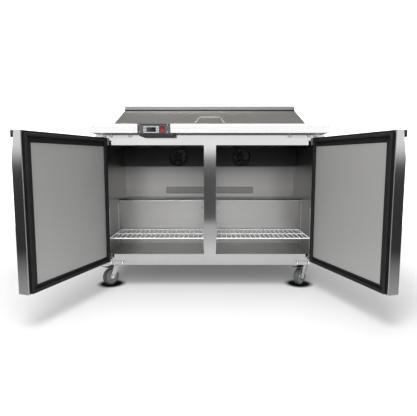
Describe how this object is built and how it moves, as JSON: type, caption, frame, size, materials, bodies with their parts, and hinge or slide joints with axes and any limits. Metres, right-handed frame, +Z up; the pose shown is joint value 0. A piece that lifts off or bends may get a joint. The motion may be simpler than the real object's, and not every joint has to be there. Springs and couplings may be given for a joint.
{
  "type": "sandwich prep table",
  "caption": "Refrigerated prep table with hinged doors, sloped lid over food pans, cutting board, wire shelves, rear condensing unit and swivel casters.",
  "frame": {"origin": "centre of the cabinet's footprint, on the floor under the casters", "axes": "+X to the right seen from the front, +Y to the back, +Z up; doors drawn open and lid closed"},
  "size_m": [1.5659, 1.2933, 1.058],
  "materials": {
    "stainless": "satin",
    "galvanised": "satin",
    "liner": "satin",
    "insulation": "matte",
    "pan_steel": "satin",
    "control_grey": "satin",
    "control_silver": "satin",
    "display": "gloss",
    "black_plastic": "satin",
    "fins": "satin",
    "motor": "satin",
    "compressor_black": "gloss",
    "copper": "satin",
    "polished_steel": "polished",
    "board": "matte",
    "shelf_white": "gloss",
    "rocker_red": "gloss",
    "key_grey": "satin",
    "door_liner": "satin",
    "gasket": "matte",
    "nylon": "satin",
    "wheel_grey": "satin"
  },
  "bodies": {
    "cabinet": {"cabinet_wrapper": "stainless", "base_frame": "galvanised", "cavity_liner": "liner", "cabinet_foam": "insulation", "face_frame": "stainless", "rear_louvre_panel": "stainless", "worktop": "stainless", "rear_hood": "stainless", "divider_bars": "pan_steel", "food_pans": "pan_steel", "controller_housing": "control_grey", "display_bezel": "control_silver", "display_window": "display", "evaporator_cover": "black_plastic", "evaporator_coil": "fins", "fan_shrouds": "black_plastic", "fan_motors": "motor", "rear_inner_panel": "liner", "shelf_supports": "galvanised", "compressor": "compressor_black", "condenser_coil": "fins", "refrigerant_pipes": "copper", "hinge_brackets": "galvanised", "power_inlet": "black_plastic"},
    "left_door": {"left_door_skin": "stainless", "left_door_core": "insulation", "left_door_panel": "door_liner", "left_door_gasket": "gasket", "left_door_handle": "black_plastic", "left_door_bushings": "nylon"},
    "right_door": {"right_door_skin": "stainless", "right_door_core": "insulation", "right_door_panel": "door_liner", "right_door_gasket": "gasket", "right_door_handle": "black_plastic", "right_door_bushings": "nylon"},
    "lid": {"lid_skin": "stainless", "lid_core": "insulation", "lid_handle": "polished_steel"},
    "board": {"cutting_board": "board"},
    "left_rack": {"left_shelf": "shelf_white"},
    "right_rack": {"right_shelf": "shelf_white"},
    "left_fan": {"left_fan_rotor": "black_plastic"},
    "right_fan": {"right_fan_rotor": "black_plastic"},
    "condenser_fan": {"condenser_fan_rotor": "black_plastic"},
    "rocker": {"power_rocker": "rocker_red"},
    "key_up_cap": {"key_up": "key_grey"},
    "key_down_cap": {"key_down": "key_grey"},
    "key_set_cap": {"key_set": "key_grey"},
    "key_defrost_cap": {"key_defrost": "key_grey"},
    "front_left_caster": {"front_left_fork": "galvanised"},
    "front_left_roller": {"front_left_wheel": "wheel_grey"},
    "left_brake": {"left_brake_lever": "galvanised"},
    "front_right_caster": {"front_right_fork": "galvanised"},
    "front_right_roller": {"front_right_wheel": "wheel_grey"},
    "right_brake": {"right_brake_lever": "galvanised"},
    "rear_left_caster": {"rear_left_fork": "galvanised"},
    "rear_left_roller": {"rear_left_wheel": "wheel_grey"},
    "rear_right_caster": {"rear_right_fork": "galvanised"},
    "rear_right_roller": {"rear_right_wheel": "wheel_grey"}
  },
  "joints": [
    {"name": "left_door_hinge", "type": "hinge", "parent": "cabinet", "child": "left_door", "pos_m": [-0.579, -0.3705, 0.5], "axis": [0, 0, -1], "range_deg": [-109.2, 10.8]},
    {"name": "right_door_hinge", "type": "hinge", "parent": "cabinet", "child": "right_door", "pos_m": [0.579, -0.3705, 0.5], "axis": [0, 0, 1], "range_deg": [-107.4, 12.6]},
    {"name": "lid_hinge", "type": "hinge", "parent": "cabinet", "child": "lid", "pos_m": [0, 0.184, 1.053], "axis": [-1, 0, 0], "range_deg": [0, 118]},
    {"name": "board_lift", "type": "slide", "parent": "cabinet", "child": "board", "axis": [0, 0, 1], "range_m": [0, 0.12]},
    {"name": "left_shelf_lift", "type": "slide", "parent": "cabinet", "child": "left_rack", "axis": [0, 0, 1], "range_m": [0, 0.15]},
    {"name": "right_shelf_lift", "type": "slide", "parent": "cabinet", "child": "right_rack", "axis": [0, 0, 1], "range_m": [0, 0.15]},
    {"name": "left_fan_spin", "type": "hinge", "parent": "cabinet", "child": "left_fan", "pos_m": [-0.204, 0.13, 0.728], "axis": [0, 1, 0], "continuous": true},
    {"name": "right_fan_spin", "type": "hinge", "parent": "cabinet", "child": "right_fan", "pos_m": [0.204, 0.13, 0.728], "axis": [0, 1, 0], "continuous": true},
    {"name": "condenser_fan_spin", "type": "hinge", "parent": "cabinet", "child": "condenser_fan", "pos_m": [0.22, 0.235, 0.272], "axis": [0, 1, 0], "continuous": true},
    {"name": "power_switch", "type": "hinge", "parent": "cabinet", "child": "rocker", "pos_m": [-0.2425, -0.443, 0.863], "axis": [-1, 0, 0], "range_deg": [0, 12]},
    {"name": "key_up_press", "type": "slide", "parent": "cabinet", "child": "key_up_cap", "axis": [0, 1, 0], "range_m": [0, 0.0008], "stiffness_N_per_m": 900},
    {"name": "key_down_press", "type": "slide", "parent": "cabinet", "child": "key_down_cap", "axis": [0, 1, 0], "range_m": [0, 0.0008], "stiffness_N_per_m": 900},
    {"name": "key_set_press", "type": "slide", "parent": "cabinet", "child": "key_set_cap", "axis": [0, 1, 0], "range_m": [0, 0.0008], "stiffness_N_per_m": 900},
    {"name": "key_defrost_press", "type": "slide", "parent": "cabinet", "child": "key_defrost_cap", "axis": [0, 1, 0], "range_m": [0, 0.0008], "stiffness_N_per_m": 900},
    {"name": "front_left_swivel", "type": "hinge", "parent": "cabinet", "child": "front_left_caster", "pos_m": [-0.54, -0.241, 0.114], "axis": [0, 0, 1], "continuous": true},
    {"name": "front_left_roll", "type": "hinge", "parent": "front_left_caster", "child": "front_left_roller", "pos_m": [-0.56676, -0.27073, 0.0475], "axis": [0.7431, -0.6691, 0], "continuous": true},
    {"name": "left_brake_press", "type": "hinge", "parent": "front_left_caster", "child": "left_brake", "pos_m": [-0.55472, -0.25735, 0.1055], "axis": [0.7431, -0.6691, 0], "range_deg": [0, 8]},
    {"name": "front_right_swivel", "type": "hinge", "parent": "cabinet", "child": "front_right_caster", "pos_m": [0.54, -0.241, 0.114], "axis": [0, 0, 1], "continuous": true},
    {"name": "front_right_roll", "type": "hinge", "parent": "front_right_caster", "child": "front_right_roller", "pos_m": [0.51272, -0.27025, 0.0475], "axis": [0.7314, -0.682, 0], "continuous": true},
    {"name": "right_brake_press", "type": "hinge", "parent": "front_right_caster", "child": "right_brake", "pos_m": [0.525, -0.25709, 0.1055], "axis": [0.7314, -0.682, 0], "range_deg": [0, 8]},
    {"name": "rear_left_swivel", "type": "hinge", "parent": "cabinet", "child": "rear_left_caster", "pos_m": [-0.54, 0.241, 0.114], "axis": [0, 0, 1], "continuous": true},
    {"name": "rear_left_roll", "type": "hinge", "parent": "rear_left_caster", "child": "rear_left_roller", "pos_m": [-0.52632, 0.27859, 0.0475], "axis": [-0.9397, 0.342, 0], "continuous": true},
    {"name": "rear_right_swivel", "type": "hinge", "parent": "cabinet", "child": "rear_right_caster", "pos_m": [0.54, 0.241, 0.114], "axis": [0, 0, 1], "continuous": true},
    {"name": "rear_right_roll", "type": "hinge", "parent": "rear_right_caster", "child": "rear_right_roller", "pos_m": [0.52965, 0.27964, 0.0475], "axis": [-0.9659, -0.2588, 0], "continuous": true}
  ]
}
